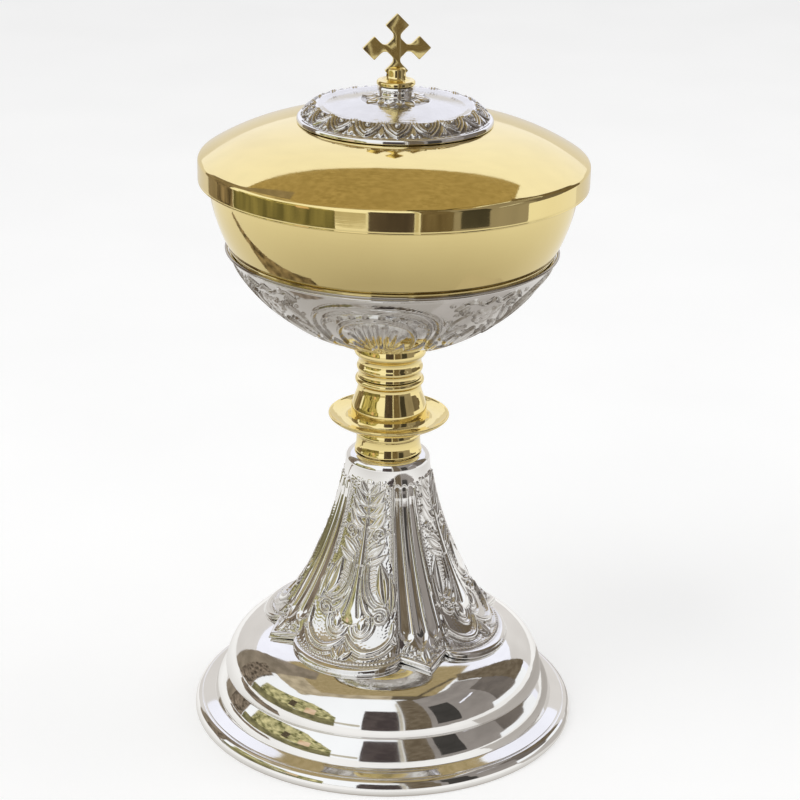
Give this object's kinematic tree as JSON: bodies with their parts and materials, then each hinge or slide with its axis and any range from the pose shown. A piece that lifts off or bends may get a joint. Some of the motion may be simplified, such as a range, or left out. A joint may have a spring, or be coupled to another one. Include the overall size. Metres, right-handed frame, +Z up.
{
  "type": "ciborium",
  "caption": "Lidded footed altar vessel: gilt bowl in an embossed silver calyx, knopped stem, stepped foot, and a lift-off lid with a silver plaque and a cross.",
  "frame": {"origin": "centre of the foot, on the surface that the vessel stands on", "axes": "+Z up the vessel axis; -Y towards the pictured side, which the flat of the cross faces"},
  "size_m": [0.1456, 0.1456, 0.2699],
  "materials": {
    "gilt": "polished gold plate",
    "silver": "polished silver plate, darkened in the hollows of the ornament",
    "brass": "turned, unplated"
  },
  "bodies": {
    "vessel": {"base_foot": "silver", "trumpet_stem": "silver", "lower_collar": "gilt", "knop": "gilt", "upper_collar": "gilt", "calyx": "silver", "calyx_wire": "silver", "cup_bowl": "gilt", "tie_rod": "brass", "foot_washer": "brass", "foot_nut": "brass"},
    "lid": {"lid_shell": "gilt", "lid_plaque": "silver", "finial_collar": "silver", "finial_knob": "gilt", "cross": "gilt", "lid_stud": "brass", "lid_washer": "brass", "lid_nut": "brass"}
  },
  "joints": [
    {"name": "lid_lift", "type": "slide", "parent": "vessel", "child": "lid", "axis": [0, 0, 1], "range_m": [0, 0.11]}
  ]
}
